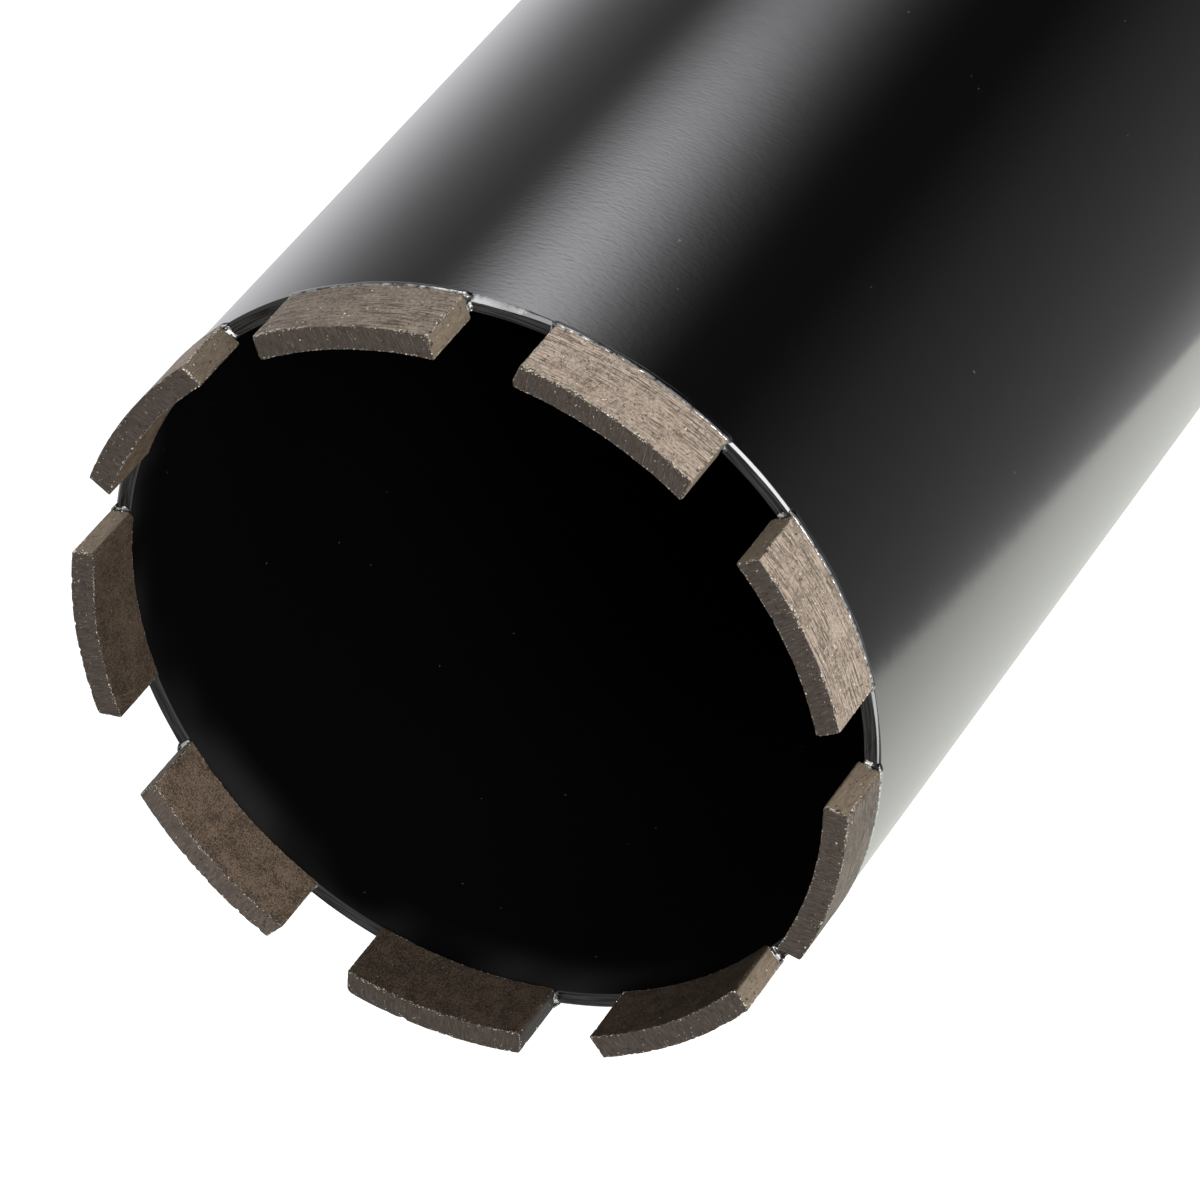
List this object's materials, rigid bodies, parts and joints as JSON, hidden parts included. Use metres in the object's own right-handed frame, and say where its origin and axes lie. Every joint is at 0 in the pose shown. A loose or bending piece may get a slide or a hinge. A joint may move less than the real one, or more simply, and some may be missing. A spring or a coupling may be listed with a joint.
{
  "type": "core drill bit",
  "caption": "Segmented core drill bit: painted tube with brazed cutting segments round its open end, closed behind by a welded plate and a threaded hexagonal hub.",
  "frame": {"origin": "centre of the hub's end face, on which the bit stands", "axes": "+Z along the barrel's axis from the hub to the crown; +X through the middle of segment_1"},
  "size_m": [0.1016, 0.102, 0.4501],
  "materials": {
    "barrel_paint": "black gloss paint with a fine orange peel",
    "plate_paint": "black gloss paint over a turned face",
    "hub_paint": "black gloss paint, bare machined end face and bore",
    "weld_paint": "black gloss paint over a rippled weld bead",
    "segment_metal": "ground sintered bronze and iron with diamond grit",
    "silver_braze": "bright silver braze"
  },
  "bodies": {
    "root": {"barrel": "barrel_paint", "back_plate": "plate_paint", "plate_weld": "weld_paint", "hub": "hub_paint", "hub_weld": "weld_paint", "segment_1": "segment_metal", "segment_2": "segment_metal", "segment_3": "segment_metal", "segment_4": "segment_metal", "segment_5": "segment_metal", "segment_6": "segment_metal", "segment_7": "segment_metal", "segment_8": "segment_metal", "segment_9": "segment_metal", "braze_1": "silver_braze", "braze_2": "silver_braze", "braze_3": "silver_braze", "braze_4": "silver_braze", "braze_5": "silver_braze", "braze_6": "silver_braze", "braze_7": "silver_braze", "braze_8": "silver_braze", "braze_9": "silver_braze"}
  },
  "joints": []
}
